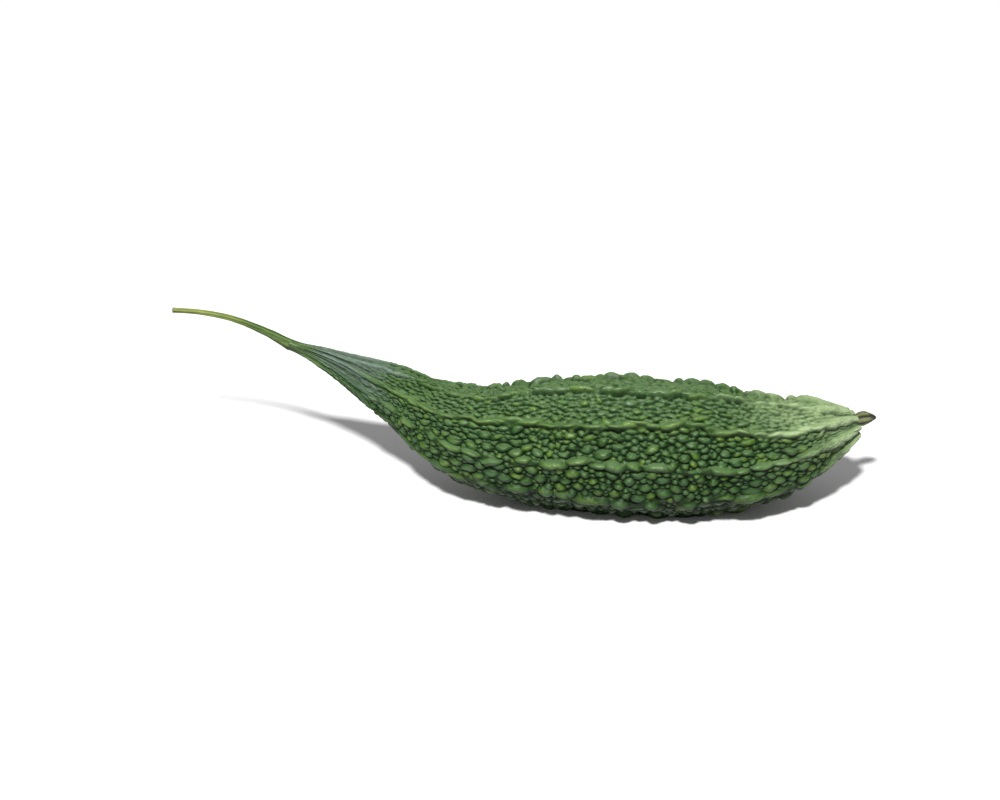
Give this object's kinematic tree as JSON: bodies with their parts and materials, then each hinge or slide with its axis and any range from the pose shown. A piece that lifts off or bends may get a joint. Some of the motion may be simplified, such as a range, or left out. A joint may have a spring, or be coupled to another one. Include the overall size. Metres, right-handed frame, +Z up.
{
  "type": "bitter gourd",
  "caption": "Whole bitter gourd as picked: a ridged, warty, spindle-shaped fresh vegetable with a slender stem and a withered flower at its tip, lying on its side.",
  "frame": {"origin": "on the surface that the gourd lies on, under the middle of its box", "axes": "+X along the fruit from the stem to the blossom end, +Z up, -Y the side that the picture shows"},
  "size_m": [0.25, 0.075, 0.0549],
  "materials": {
    "skin": "waxy satin, deep green between the warts, lighter on the ridges, grey-blue at the neck and pale at the blossom end",
    "stem": "satin, yellow-green",
    "withered_flower": "matt, wrinkled, olive brown"
  },
  "bodies": {
    "root": {"fruit": "skin", "stem": "stem", "withered_flower": "withered_flower"}
  },
  "joints": []
}
